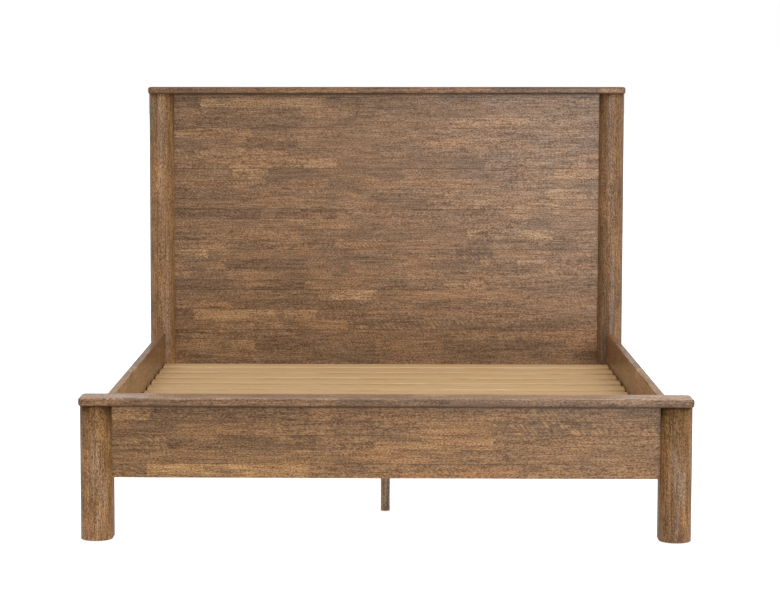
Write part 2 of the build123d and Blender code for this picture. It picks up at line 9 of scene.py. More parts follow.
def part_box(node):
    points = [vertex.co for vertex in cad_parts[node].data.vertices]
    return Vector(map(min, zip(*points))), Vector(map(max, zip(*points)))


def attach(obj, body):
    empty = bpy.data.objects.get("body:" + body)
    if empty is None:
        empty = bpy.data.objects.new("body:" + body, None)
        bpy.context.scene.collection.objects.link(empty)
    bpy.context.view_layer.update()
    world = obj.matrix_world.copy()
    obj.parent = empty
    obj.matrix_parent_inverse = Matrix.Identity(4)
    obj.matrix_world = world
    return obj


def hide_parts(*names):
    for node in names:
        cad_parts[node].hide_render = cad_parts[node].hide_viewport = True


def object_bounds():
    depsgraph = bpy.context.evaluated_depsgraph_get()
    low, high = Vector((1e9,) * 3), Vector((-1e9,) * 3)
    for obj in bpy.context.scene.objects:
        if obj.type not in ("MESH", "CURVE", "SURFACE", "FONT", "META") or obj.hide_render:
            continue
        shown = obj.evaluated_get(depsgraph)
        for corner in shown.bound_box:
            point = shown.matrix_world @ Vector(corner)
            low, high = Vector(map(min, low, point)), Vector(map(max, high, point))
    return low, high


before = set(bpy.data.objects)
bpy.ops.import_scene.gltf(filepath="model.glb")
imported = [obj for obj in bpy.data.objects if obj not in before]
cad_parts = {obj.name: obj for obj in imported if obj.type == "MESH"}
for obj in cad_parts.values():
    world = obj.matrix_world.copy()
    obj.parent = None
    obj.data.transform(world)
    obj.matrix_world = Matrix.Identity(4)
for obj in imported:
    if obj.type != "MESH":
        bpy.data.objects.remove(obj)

bl_info = {
    "name": "Wooden Bed Frame",
    "version": (1, 0, 0),
    "blender": (4, 5, 0),
    "location": "3D View > Sidebar > Bed Frame",
    "description": "Builds a slatted wooden bed frame with half-round posts around its packed CAD frame",
    "category": "Add Mesh",
}

CAD_LOW, CAD_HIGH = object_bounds()
MM = 0.001
NEAR = 1e-6


# ---- Colours and node helpers ----
def linear(code):
    """An sRGB hex colour as linear red, green, blue and a full alpha."""
    values = [int(code[i : i + 2], 16) / 255 for i in (1, 3, 5)]
    uncurved = [v / 12.92 if v <= 0.04045 else ((v + 0.055) / 1.055) ** 2.4 for v in values]
    return (*uncurved, 1.0)


def add_node(tree, kind, inputs=None, **settings):
    """Adds a node with its settings; each input is a value or the socket that feeds it."""
    made = tree.nodes.new(kind)
    for name, value in settings.items():
        setattr(made, name, value)
    for key, value in (inputs or {}).items():
        if isinstance(value, bpy.types.NodeSocket):
            tree.links.new(value, made.inputs[key])
        else:
            made.inputs[key].default_value = value
    return made


def new_material(name):
    """A new node material that holds only its surface shader: (material, tree, shader)."""
    material = bpy.data.materials.new(name)
    material.use_nodes = True
    tree = material.node_tree
    tree.nodes.clear()
    shader = add_node(tree, "ShaderNodeBsdfPrincipled")
    add_node(tree, "ShaderNodeOutputMaterial", {"Surface": shader.outputs[0]})
    return material, tree, shader


# ---- Sizes and colours that a user may change ----
class TimberSettings(bpy.types.PropertyGroup):
    """Stain, figure and stave sizes of the brown timber"""

    dark: bpy.props.FloatVectorProperty(
        name="Dark staves", description="Darkest stain on a stave", subtype="COLOR", size=4,
        min=0.0, max=1.0, default=linear("#684c36"))
    cool: bpy.props.FloatVectorProperty(
        name="Cool staves", description="Greyer heartwood", subtype="COLOR", size=4,
        min=0.0, max=1.0, default=linear("#7c6149"))
    middle: bpy.props.FloatVectorProperty(
        name="Middle staves", description="The stain on most staves", subtype="COLOR", size=4,
        min=0.0, max=1.0, default=linear("#8f6f53"))
    warm: bpy.props.FloatVectorProperty(
        name="Warm staves", description="Orange staves", subtype="COLOR", size=4,
        min=0.0, max=1.0, default=linear("#a27b59"))
    pale: bpy.props.FloatVectorProperty(
        name="Pale staves", description="Golden sapwood", subtype="COLOR", size=4,
        min=0.0, max=1.0, default=linear("#bf9a73"))
    # The glue colour is also the colour of the painted shade under the caps and on the caps' lower rounding,
    # and of the caps' darker ends.
    glue: bpy.props.FloatVectorProperty(
        name="Glue line", description="Dark line between staves", subtype="COLOR", size=4,
        min=0.0, max=1.0, default=linear("#3a2a1e"))
    stave_contrast: bpy.props.FloatProperty(
        name="Stave contrast", description="How far staves differ from the middle stain", default=0.70,
        min=0.0, max=1.0)
    stave_length: bpy.props.FloatProperty(
        name="Stave length", description="Usual length of a glued stave", default=0.30, min=0.05,
        unit="LENGTH", subtype="DISTANCE")
    seam_width: bpy.props.FloatProperty(
        name="Glue line width", description="Half width of the line between staves", default=1.6 * MM,
        min=0.0, unit="LENGTH", subtype="DISTANCE")


class EdgeSettings(bpy.types.PropertyGroup):
    """Rounding of the edges"""

    cap_corner: bpy.props.FloatProperty(
        name="Cap corner", description="Plan radius of the caps' corners", default=14 * MM, min=0.0,
        unit="LENGTH", subtype="DISTANCE")
    cap_edge: bpy.props.FloatProperty(
        name="Cap edge", description="Radius of the caps' long edges", default=7 * MM, min=0.0,
        unit="LENGTH", subtype="DISTANCE")
    post_back: bpy.props.FloatProperty(
        name="Post back", description="Radius of the posts' back corners", default=3 * MM, min=0.0,
        unit="LENGTH", subtype="DISTANCE")
    post_foot: bpy.props.FloatProperty(
        name="Post foot", description="Easing round the bottom of a post", default=1.5 * MM, min=0.0,
        unit="LENGTH", subtype="DISTANCE")
    board_seam: bpy.props.FloatProperty(
        name="Board seam", description="Easing of the boards where they meet", default=0.8 * MM, min=0.0,
        unit="LENGTH", subtype="DISTANCE")
    rail: bpy.props.FloatProperty(
        name="Rail edge", description="Radius of the rails' long edges", default=3 * MM, min=0.0,
        unit="LENGTH", subtype="DISTANCE")


class StudioSettings(bpy.types.PropertyGroup):
    """Camera, lights and floor"""

    distance: bpy.props.FloatProperty(
        name="Distance", description="From the camera to the footboard cap", default=6.892, min=1.0,
        unit="LENGTH", subtype="DISTANCE")
    height: bpy.props.FloatProperty(
        name="Height", description="Camera height above the floor", default=1.300, min=0.0,
        unit="LENGTH", subtype="DISTANCE")
    offset: bpy.props.FloatProperty(
        name="Offset", description="How far right of the middle the camera stands", default=0.0017,
        unit="LENGTH", subtype="DISTANCE")
    lens: bpy.props.FloatProperty(
        name="Lens", description="Focal length in millimetres", default=118.3, min=10.0)
    pitch: bpy.props.FloatProperty(
        name="Pitch", description="How far the camera looks down", default=math.radians(5.25),
        subtype="ANGLE")
    turn: bpy.props.FloatProperty(
        name="Turn", description="How far the camera faces left", default=math.radians(1.295),
        subtype="ANGLE")
    shift: bpy.props.FloatProperty(
        name="Shift", description="Sideways lens shift, which takes the turn back", default=0.0787)
    overhead: bpy.props.FloatProperty(
        name="Overhead light", description="Strength of the broad overhead light", default=0.97, min=0.0)
    front: bpy.props.FloatProperty(
        name="Front light", description="Power of the narrow light in front, in watts", default=105.0,
        min=0.0)
    side: bpy.props.FloatProperty(
        name="Side light", description="Power of the light on the right, in watts", default=40.0,
        min=0.0)
    sky: bpy.props.FloatProperty(
        name="Surroundings", description="Light from the white room all round", default=0.61, min=0.0)
    floor: bpy.props.FloatVectorProperty(
        name="Floor", description="Colour of the floor", subtype="COLOR", size=4, min=0.0, max=1.0,
        default=linear("#f4f4f4"))


# ---- Timber ----
GRAIN_AXES = {"X": ("X", "Z", "Y"), "Z": ("Z", "X", "Y"), "Y": ("Y", "Z", "X"), "FLAT": ("X", "Y", "Z")}

# A noise layer of the grain: cells per metre along and across it, octaves, roughness and how much it shades.
Layer = namedtuple("Layer", "along across detail roughness weight")

# Streaks are a finger wide and a hand long. Real fibres and flecks are finer than these, which are drawn as
# coarse as they need to be to show.
GRAIN_LAYERS = {
    "streaks": Layer(7.0, 110.0, 3.0, 0.6, 1.10),
    "fibres": Layer(17.0, 300.0, 2.0, 0.6, 1.7),
    "flecks": Layer(170.0, 340.0, 1.0, 0.7, 3.1),
}
RINGS_WEIGHT = 0.10

# Where staves end, in stave lengths: how far rows are thrown apart, and how far the ends drift and fray. The
# pace is how often the drift changes, per stave.
ROW_THROW = 37.0
DRIFT_PACE = 0.8
DRIFT = 1.6
FRAY = 0.12
# A stave's random colour moves each layer of its grain by up to this many cells.
GRAIN_THROW = (19.0, 23.0, 29.0)

# Cells per metre along and across the grain.
FRAY_CELLS = (4.0, 210.0)
CLOUD_CELLS = (5.0, 15.0)
PORE_CELLS = (38.0, 420.0)
RAY_CELLS = (30.0, 190.0)
FIBRE_CELLS = (22.0, 520.0)

# Ranges: a value between the first two numbers comes out between the last two, or between 0 and 1 if there
# are only two. The saw marks' chance comes out between 0 and their strength.
COOL_CLOUD = (0.48, 0.36, 0.0, 0.75)
WARM_CLOUD = (0.52, 0.66, 0.0, 0.60)
GRAIN_SHADE = (-0.65, 0.75, 0.35, 1.75)
PORE_DEPTH = (0.36, 0.28, 0.0, 0.35)
RAY_CHANCE = (0.84, 0.86)
RAY_PATCH = (0.44, 0.54)
RAY_STROKE = (0.54, 0.62)
SAWN_CHANCE = (0.90, 0.92)
SAWN_PATCH = (0.48, 0.56, 0.0, 0.5)
SAWN_STROKE = (0.3, 0.8)
GLUE_ROW = (0.3, 0.9, 0.10, 0.75)
GLUE_PATCH = (0.62, 0.42)
# Normals that pick a cap's top, for its painted light and shade, its darker ends, and its lower rounding,
# for its painted shade.
CAP_TOP_NORMAL = (0.40, 0.90)
CAP_END_NORMAL = (0.35, 0.90, 0.0, 0.65)
CAP_UNDER_NORMAL = (-0.15, -0.90, 0.0, 0.75)
LACQUER_ROUGHNESS = (-0.3, 0.3, 0.38, 0.28)
PLANED_ROUGHNESS = (0.3, 0.7, 0.52, 0.66)

# Powers that a shade is raised to for red, green and blue.
WARM_POWERS = (1.0, 1.25, 1.6)
RAY_SLANT = math.radians(-52)
RAY_STRENGTH = 0.8
# How dark the painted shade under a cap gets.
UNDER_CAP_SHADE_STRENGTH = 0.75
# How much of a glue line's half width is fully dark.
GLUE_CORE = 0.3
FIBRE_RELIEF = 0.6
LACQUER_SPECULAR = 0.36
BUMP_STRENGTH = 0.25
BUMP_DEPTH = 0.3 * MM


def plank_space(tree, grain):
    """Sockets of the place along the grain, across the face and into the wood, in metres."""
    place = add_node(tree, "ShaderNodeTexCoord").outputs["Object"]
    split = add_node(tree, "ShaderNodeSeparateXYZ", {0: place})
    return [split.outputs[axis] for axis in GRAIN_AXES[grain]]


def maths(tree, operation, first, second=0.0):
    """The result of a maths node."""
    return add_node(tree, "ShaderNodeMath", {0: first, 1: second}, operation=operation).outputs[0]


def stretched(tree, axes, along, across, shift=None):
    """Plank coordinates scaled along and across the grain, moved by a vector socket."""
    scaled = [maths(tree, "MULTIPLY", axis, scale) for axis, scale in zip(axes, (along, across, across))]
    vector = add_node(tree, "ShaderNodeCombineXYZ", {0: scaled[0], 1: scaled[1], 2: scaled[2]}).outputs[0]
    if shift is None:
        return vector
    return add_node(tree, "ShaderNodeVectorMath", {0: vector, 1: shift}, operation="ADD").outputs[0]


def turned(tree, axes, angle):
    """Plank coordinates turned by an angle in the plane of the face."""
    along, across, into = axes
    cos, sin = math.cos(angle), math.sin(angle)
    along_cos, along_sin = [maths(tree, "MULTIPLY", along, factor) for factor in (cos, sin)]
    across_cos, across_sin = [maths(tree, "MULTIPLY", across, factor) for factor in (cos, sin)]
    first = maths(tree, "ADD", along_cos, across_sin)
    second = maths(tree, "SUBTRACT", across_cos, along_sin)
    return first, second, into


def noise(tree, vector, detail=2.0, roughness=0.5, distortion=0.0):
    """The value of a noise texture of scale 1 on a vector."""
    return add_node(
        tree,
        "ShaderNodeTexNoise",
        {"Vector": vector, "Scale": 1.0, "Detail": detail, "Roughness": roughness, "Distortion": distortion},
    ).outputs[0]


def ranged(tree, value, low, high, to_low=0.0, to_high=1.0):
    """A value moved from one range to another, clamped."""
    inputs = {0: value, 1: low, 2: high, 3: to_low, 4: to_high}
    return add_node(tree, "ShaderNodeMapRange", inputs).outputs[0]


def staves(tree, axes, height, start, length, seed):
    """Glued staves: random colour, random value, random value of the row, distance to its edge in metres.

    Rows have one height, but staves end where a slow noise puts them, and their ends are a little frayed.
    """
    along, across, _ = axes
    row_place = maths(tree, "DIVIDE", maths(tree, "SUBTRACT", across, start), height)
    row_key = maths(tree, "ADD", maths(tree, "FLOOR", row_place), seed)
    row_random = add_node(
        tree, "ShaderNodeTexWhiteNoise", {"W": row_key}, noise_dimensions="1D").outputs["Value"]
    row_offset = maths(tree, "MULTIPLY", row_random, ROW_THROW)
    run = maths(tree, "ADD", maths(tree, "DIVIDE", along, length), row_offset)
    slowed = maths(tree, "MULTIPLY", run, DRIFT_PACE)
    drift = add_node(
        tree, "ShaderNodeTexNoise", {"W": slowed, "Scale": 1.0, "Detail": 0.0},
        noise_dimensions="1D").outputs[0]
    run = maths(tree, "ADD", run, maths(tree, "MULTIPLY", drift, DRIFT))
    frayed = noise(tree, stretched(tree, axes, *FRAY_CELLS), detail=1.0)
    run = maths(tree, "ADD", run, maths(tree, "MULTIPLY", frayed, FRAY))
    stave = maths(tree, "FLOOR", run)
    key = add_node(tree, "ShaderNodeCombineXYZ", {0: row_key, 1: stave, 2: 3.0}).outputs[0]
    random = add_node(tree, "ShaderNodeTexWhiteNoise", {"Vector": key}, noise_dimensions="3D")
    edge = maths(tree, "MULTIPLY", maths(tree, "PINGPONG", row_place, 0.5), height)
    return random.outputs["Color"], random.outputs["Value"], row_random, edge


def mixed(tree, factor, first, second, blend="MIX"):
    """Two colours mixed by a factor."""
    made = add_node(tree, "ShaderNodeMix", data_type="RGBA", blend_type=blend)
    for socket, value in zip((made.inputs[0], made.inputs[6], made.inputs[7]), (factor, first, second)):
        if isinstance(value, bpy.types.NodeSocket):
            tree.links.new(value, socket)
        else:
            socket.default_value = value
    return made.outputs[2]


def warm_shade(tree, value):
    """A shade whose darks are brown, not grey: green and blue change faster than red."""
    parts = {index: maths(tree, "POWER", value, power) for index, power in enumerate(WARM_POWERS)}
    return add_node(tree, "ShaderNodeCombineColor", parts).outputs[0]


def stave_colour(tree, settings, tone):
    """Most staves are mid brown; a few are dark, greyish, orange or pale."""
    ramp = add_node(tree, "ShaderNodeValToRGB", {0: tone})
    stops = [
        (0.0, settings.dark), (0.12, settings.cool), (0.30, settings.middle), (0.74, settings.middle),
        (0.86, settings.warm), (0.94, settings.warm), (1.0, settings.pale),
    ]
    elements = ramp.color_ramp.elements
    while len(elements) < len(stops):
        elements.new(0.5)
    for element, (position, colour) in zip(elements, stops):
        element.position = position
        element.color = colour
    return mixed(tree, settings.stave_contrast, settings.middle, ramp.outputs[0])


def clouded(tree, settings, cloud, colour):
    """Cloudy patches as wide as a hand, greyer or warmer than the wood round them."""
    colour = mixed(tree, ranged(tree, cloud, *COOL_CLOUD), colour, settings.cool)
    return mixed(tree, ranged(tree, cloud, *WARM_CLOUD), colour, settings.warm)


def growth_rings(tree, place, scale, distortion, detail, detail_scale, detail_roughness):
    """The value of growth rings round the grain, as a sawn face shows them."""
    inputs = {
        "Vector": place,
        "Scale": scale,
        "Distortion": distortion,
        "Detail": detail,
        "Detail Scale": detail_scale,
        "Detail Roughness": detail_roughness,
    }
    return add_node(tree, "ShaderNodeTexWave", inputs, wave_type="RINGS", rings_direction="X").outputs[1]


def grain_layers(tree, axes, shift):
    """The noise layers of the grain by name, and the sum of them and faint growth rings, around zero."""
    rings = growth_rings(
        tree, stretched(tree, axes, 0.22, 1.0, shift), scale=26.0, distortion=9.0, detail=4.0,
        detail_scale=1.6, detail_roughness=0.7)
    total = maths(tree, "MULTIPLY", maths(tree, "SUBTRACT", rings, 0.5), RINGS_WEIGHT)
    layers = {}
    for name, layer in GRAIN_LAYERS.items():
        place = stretched(tree, axes, layer.along, layer.across, shift)
        layers[name] = noise(tree, place, detail=layer.detail, roughness=layer.roughness)
        part = maths(tree, "MULTIPLY", maths(tree, "SUBTRACT", layers[name], 0.5), layer.weight)
        total = maths(tree, "ADD", total, part)
    return layers, total


def open_pores(tree, axes, shift):
    """How far a place lies in an open pore: thin dark dashes along the grain."""
    dashes = noise(tree, stretched(tree, axes, *PORE_CELLS, shift), detail=1.0)
    return ranged(tree, dashes, *PORE_DEPTH)


def ray_figure(tree, axes, shift, chance, streaks, strength):
    """Ray figure on a few staves: short pale strokes that slant across the grain."""
    place = stretched(tree, turned(tree, axes, RAY_SLANT), *RAY_CELLS, shift)
    strokes = ranged(tree, noise(tree, place, detail=1.0, distortion=0.5), *RAY_STROKE)
    figured = maths(tree, "MULTIPLY", ranged(tree, chance, *RAY_CHANCE), ranged(tree, streaks, *RAY_PATCH))
    return maths(tree, "MULTIPLY", strokes, maths(tree, "MULTIPLY", figured, RAY_STRENGTH * strength))


def saw_marks(tree, axes, chance, cloud, strength):
    """Saw marks on a few staves: fine slanting hatches where the planer missed them."""
    hatch = add_node(
        tree, "ShaderNodeTexWave",
        {"Vector": stretched(tree, axes, 1.0, 1.0), "Scale": 42.0, "Distortion": 0.6, "Detail": 1.0},
        wave_type="BANDS", bands_direction="DIAGONAL").outputs[1]
    missed = maths(
        tree, "MULTIPLY", ranged(tree, chance, *SAWN_CHANCE, 0.0, strength),
        ranged(tree, cloud, *SAWN_PATCH))
    return maths(tree, "MULTIPLY", ranged(tree, hatch, *SAWN_STROKE), missed)


def glue_lines(tree, settings, edge, row_tone, cloud):
    """Hairlines between rows of staves, plainer on some rows than on others."""
    nearness = ranged(tree, edge, settings.seam_width * GLUE_CORE, settings.seam_width, 1.0, 0.0)
    strength = maths(tree, "MULTIPLY", ranged(tree, row_tone, *GLUE_ROW), ranged(tree, cloud, *GLUE_PATCH))
    return maths(tree, "MULTIPLY", nearness, strength)


def painted_shade_under_cap(tree, settings, colour, corner):
    """Painted shade in the corner under a cap, growing from one height up to another."""
    place = add_node(tree, "ShaderNodeTexCoord").outputs["Object"]
    upright = add_node(tree, "ShaderNodeSeparateXYZ", {0: place}).outputs[2]
    return mixed(tree, ranged(tree, upright, *corner, 0.0, UNDER_CAP_SHADE_STRENGTH), colour, settings.glue)


def cap_faces(tree, settings, colour, top_tint):
    """The faces of a cap: a top tinted with painted light where it is paler and painted shade where it is
    darker, darker ends, and painted shade on the lower rounding.
    """
    normal = add_node(tree, "ShaderNodeNewGeometry").outputs["Normal"]
    facing = add_node(tree, "ShaderNodeSeparateXYZ", {0: normal})
    # Painted light on the footboard cap's top, painted shade on the headboard cap's top.
    painted_top = mixed(tree, 1.0, colour, top_tint, "MULTIPLY")
    colour = mixed(tree, ranged(tree, facing.outputs[2], *CAP_TOP_NORMAL), colour, painted_top)
    sideways = maths(tree, "ABSOLUTE", facing.outputs[0])
    colour = mixed(tree, ranged(tree, sideways, *CAP_END_NORMAL), colour, settings.glue)
    # Painted shade on the lower rounding, which faces down.
    return mixed(tree, ranged(tree, facing.outputs[2], *CAP_UNDER_NORMAL), colour, settings.glue)


def finish_wood(tree, shader, colour, roughness, height):
    """Feeds a wood's colour, roughness and relief to its shader."""
    bump = add_node(
        tree, "ShaderNodeBump", {"Strength": BUMP_STRENGTH, "Distance": BUMP_DEPTH, "Height": height})
    tree.links.new(colour, shader.inputs["Base Color"])
    tree.links.new(roughness, shader.inputs["Roughness"])
    tree.links.new(bump.outputs[0], shader.inputs["Normal"])


def stained_timber(
        name, grain, stave_height, stave_start, tint, seed=0.0, figure=1.0, top_tint=None, corner=None):
    """Rustic hardwood glued up from short staves, stained brown and finished with satin lacquer.

    The eye sees patchy staves with thin glue lines, streaks and flecks along the grain, and a soft sheen.
    """
    settings = bpy.context.scene.bed_timber
    material, tree, shader = new_material(name)
    axes = plank_space(tree, grain)
    random, tone, row_tone, edge = staves(
        tree, axes, stave_height, stave_start, settings.stave_length, seed)
    shift = add_node(
        tree, "ShaderNodeVectorMath", {0: random, 1: GRAIN_THROW}, operation="MULTIPLY").outputs[0]
    chances = add_node(tree, "ShaderNodeSeparateColor", {0: random})
    cloud = noise(tree, stretched(tree, axes, *CLOUD_CELLS), detail=4.0, roughness=0.62)
    layers, grain_value = grain_layers(tree, axes, shift)
    pores = open_pores(tree, axes, shift)
    lines = glue_lines(tree, settings, edge, row_tone, cloud)

    colour = clouded(tree, settings, cloud, stave_colour(tree, settings, tone))
    shade = warm_shade(tree, ranged(tree, grain_value, *GRAIN_SHADE))
    colour = mixed(tree, 1.0, colour, shade, "MULTIPLY")
    colour = mixed(tree, pores, colour, settings.dark)
    rays = ray_figure(tree, axes, shift, chances.outputs[1], layers["streaks"], figure)
    colour = mixed(tree, rays, colour, settings.pale)
    colour = mixed(tree, saw_marks(tree, axes, chances.outputs[2], cloud, figure), colour, settings.dark)
    colour = mixed(tree, lines, colour, settings.glue)
    # Painted shade on the top of the boards, just under the cap.
    if corner:
        colour = painted_shade_under_cap(tree, settings, colour, corner)
    colour = mixed(tree, 1.0, colour, tint, "MULTIPLY")
    # Painted light and shade on a cap's faces.
    if top_tint:
        colour = cap_faces(tree, settings, colour, top_tint)

    hollows = maths(tree, "ADD", lines, pores)
    ridges = maths(tree, "MULTIPLY", layers["fibres"], FIBRE_RELIEF)
    height = maths(tree, "SUBTRACT", ridges, hollows)
    finish_wood(tree, shader, colour, ranged(tree, grain_value, *LACQUER_ROUGHNESS), height)
    shader.inputs["Specular IOR Level"].default_value = LACQUER_SPECULAR
    return material


def pale_timber(name, grain, light, dark):
    """Planed pine or beech with little finish: soft growth rings and fine fibres."""
    material, tree, shader = new_material(name)
    axes = plank_space(tree, grain)
    rings = growth_rings(
        tree, stretched(tree, axes, 0.08, 1.0), scale=38.0, distortion=5.0, detail=3.0,
        detail_scale=1.2, detail_roughness=0.6)
    fibres = noise(tree, stretched(tree, axes, *FIBRE_CELLS), detail=3.0, roughness=0.6)
    grain_value = maths(
        tree, "ADD", maths(tree, "MULTIPLY", rings, 0.55), maths(tree, "MULTIPLY", fibres, 0.6))
    colour = mixed(tree, ranged(tree, grain_value, 0.25, 0.95), linear(light), linear(dark))
    finish_wood(tree, shader, colour, ranged(tree, fibres, *PLANED_ROUGHNESS), fibres)
    return material


# ---- Metal and nylon ----
def mottled_metal(name, code, roughness):
    """Plated or turned metal: dull, with a fine mottled spangle."""
    material, tree, shader = new_material(name)
    place = add_node(tree, "ShaderNodeTexCoord").outputs["Object"]
    spangle = add_node(tree, "ShaderNodeTexVoronoi", {"Vector": place, "Scale": 260.0}).outputs["Distance"]
    base = linear(code)
    darker = tuple(v * 0.82 for v in base[:3]) + (1.0,)
    colour = mixed(tree, ranged(tree, spangle, 0.1, 0.8), base, darker)
    dullness = ranged(tree, spangle, 0.0, 0.9, roughness - 0.05, roughness + 0.08)
    tree.links.new(colour, shader.inputs["Base Color"])
    tree.links.new(dullness, shader.inputs["Roughness"])
    shader.inputs["Metallic"].default_value = 1.0
    return material


def moulded_nylon(name):
    """Black glass-filled nylon from a mould: matt, with a fine pebbled skin."""
    material, tree, shader = new_material(name)
    place = add_node(tree, "ShaderNodeTexCoord").outputs["Object"]
    inputs = {"Vector": place, "Scale": 1500.0, "Detail": 2.0}
    pebble = add_node(tree, "ShaderNodeTexNoise", inputs).outputs[0]
    bump = add_node(tree, "ShaderNodeBump", {"Strength": 0.3, "Distance": 0.1 * MM, "Height": pebble})
    colour = mixed(tree, ranged(tree, pebble, 0.35, 0.65), linear("#16161a"), linear("#222226"))
    tree.links.new(colour, shader.inputs["Base Color"])
    tree.links.new(bump.outputs[0], shader.inputs["Normal"])
    shader.inputs["Roughness"].default_value = 0.55
    return material


# ---- Mesh helpers ----
def box_mesh(low, high):
    """A box between two corners."""
    bm = bmesh.new()
    bmesh.ops.create_cube(bm, size=1.0)
    bmesh.ops.scale(bm, vec=Vector(high) - Vector(low), verts=bm.verts)
    bmesh.ops.translate(bm, vec=(Vector(low) + Vector(high)) / 2, verts=bm.verts)
    return bm


def edges_along(bm, axis):
    """Edges that run along a coordinate axis."""
    return [e for e in bm.edges if abs((e.verts[1].co - e.verts[0].co).normalized()[axis]) > 0.999]


def rounded(bm, edges, radius, segments):
    """Rounds some edges of a mesh."""
    bmesh.ops.bevel(
        bm, geom=edges, offset=radius, offset_type="OFFSET", segments=segments, profile=0.5, affect="EDGES",
        material=-1, clamp_overlap=True)


def rim_edges(bm, axis, at):
    """Edges that lie in the plane where a coordinate has one value."""
    return [e for e in bm.edges if all(abs(v.co[axis] - at) < NEAR for v in e.verts)]


def make_piece(name, bm, material, body, nodes):
    """Turns a mesh into a piece that rides on a body and stands for CAD nodes."""
    bmesh.ops.recalc_face_normals(bm, faces=bm.faces)
    mesh = bpy.data.meshes.new(name)
    bm.to_mesh(mesh)
    bm.free()
    for face in mesh.polygons:
        face.use_smooth = True
    mesh.materials.append(material)
    piece = bpy.data.objects.new(name, mesh)
    bpy.context.scene.collection.objects.link(piece)
    weighted = piece.modifiers.new("Flat faces stay flat", "WEIGHTED_NORMAL")
    weighted.keep_sharp = True
    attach(piece, body)
    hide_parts(*nodes)
    return piece


def dress(nodes, material):
    """Gives CAD nodes that stay a better material."""
    for node in nodes:
        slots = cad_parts[node].material_slots
        if not slots:
            raise RuntimeError(f"{node} has no material slot")
        for index in range(len(slots)):
            slots[index].material = material


def get_material(name, maker, *values, **named):
    """A material made once and found again by name."""
    found = bpy.data.materials.get(name)
    return found or maker(name, *values, **named)


# ---- Pieces ----
ENDS = ("head", "foot")
SIDES = ("left", "right")

HEADBOARD_TINT = "#ebe5d8"
FOOTBOARD_TINT = "#e5d8ba"
CAP_TINT = "#d0c8bd"
RAIL_TINT = "#f6ecd4"
# Every post is cut from its own plank: a seed for its staves, and a tint. The right posts' darker tints are
# painted shade.
POST_TINTS_AND_SEEDS = {
    "headboard_post_left": ("#efe2c2", 2.0),
    "headboard_post_right": ("#dcd0b9", 16.0),
    "footboard_post_left": ("#efe2c2", 7.0),
    "footboard_post_right": ("#dbcdac", 30.0),
}
# Linear tints, which lighten a channel where they are above 1. The legs come out greyer than the panels. The
# top of the headboard's cap is darker than its front, as painted shade, and the top of the footboard's cap
# paler, as painted light.
LEG_TINT = (1.10, 1.31, 1.49, 1.0)
CAP_PAINTED_TOP_LIGHT = {"head": (0.5, 0.5, 0.5, 1.0), "foot": (2.10, 2.38, 2.95, 1.0)}
# Between and on the rings of the beam, cleats and battens.
INNER_PINE = ("#c9a271", "#ab8050")

# Staves across a post and across a board, and their width on the caps, rails and legs.
POST_STAVES = 3
HEADBOARD_STAVES = 4
FOOTBOARD_STAVES = 3
FOOTBOARD_SEED = 5.0
NARROW_STAVE = 36 * MM
LEG_STAVE = 60 * MM
# Where painted shade starts below the cap and where it is darkest, down from the top of the boards.
HEADBOARD_UNDER_CAP_SHADE = (7 * MM, 2 * MM)
FOOTBOARD_UNDER_CAP_SHADE = (9 * MM, 6 * MM)

# The boards are drawn without their tongues, and with ends that reach a little way into the posts.
TONGUE = 8 * MM
BOARD_END = 4 * MM
TOP_BOARDS = ("headboard_board_1", "footboard_board_upper")
HEADBOARD_BOARDS = [f"headboard_board_{number}" for number in range(1, 7)] + ["headboard_lower_rail"]
SLATS = [f"slat_{number:02d}" for number in range(1, 14)]
LEGS = ("front", "middle", "rear")
SCREWED = ("slat", "cleat", "batten", "hanger", "plate", "leg")
# Facets round the nose of a post.
POST_STEPS = 28


def post_mesh(low, high, edges):
    """A post, half-round in front and square behind."""
    radius = (high.x - low.x) / 2
    centre = Vector((low.x + radius, low.y + radius, low.z))
    bm = bmesh.new()
    start = bm.verts.new((low.x, centre.y, low.z))
    spun = bmesh.ops.spin(
        bm, geom=[start], cent=centre, axis=(0, 0, 1), angle=math.pi, steps=POST_STEPS, use_merge=False)
    last = [v for v in spun["geom_last"] if isinstance(v, bmesh.types.BMVert)][0]
    corners = [bm.verts.new((x, high.y, low.z)) for x in (last.co.x, start.co.x)]
    chain = [last, corners[0], corners[1], start]
    for a, b in zip(chain, chain[1:]):
        bm.edges.new((a, b))
    bmesh.ops.contextual_create(bm, geom=bm.edges[:])
    grown = bmesh.ops.extrude_face_region(bm, geom=bm.faces[:])
    top = [v for v in grown["geom"] if isinstance(v, bmesh.types.BMVert)]
    bmesh.ops.translate(bm, vec=(0, 0, high.z - low.z), verts=top)
    back = [e for e in edges_along(bm, 2) if e.verts[0].co.y > high.y - NEAR]
    rounded(bm, back, edges.post_back, 3)
    rounded(bm, rim_edges(bm, 2, low.z), edges.post_foot, 2)
    return bm


class BED_OT_posts(bpy.types.Operator):
    """Four posts, half-round in front and square behind"""

    bl_idname = "bed.posts"
    bl_label = "Posts"

    def execute(self, context):
        for end in ENDS:
            for side in SIDES:
                node = f"{end}board_post_{side}"
                low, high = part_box(node)
                bm = post_mesh(low, high, context.scene.bed_edges)
                # The right posts' tints hold painted shade.
                tint, seed = POST_TINTS_AND_SEEDS[node]
                material = get_material(
                    f"Stained_timber_{end}_{side}_post", stained_timber, "Z", (high.x - low.x) / POST_STAVES,
                    low.x, linear(tint), seed=seed)
                make_piece(f"{end}board_{side}_post_timber", bm, material, "frame", [node])
        return {"FINISHED"}


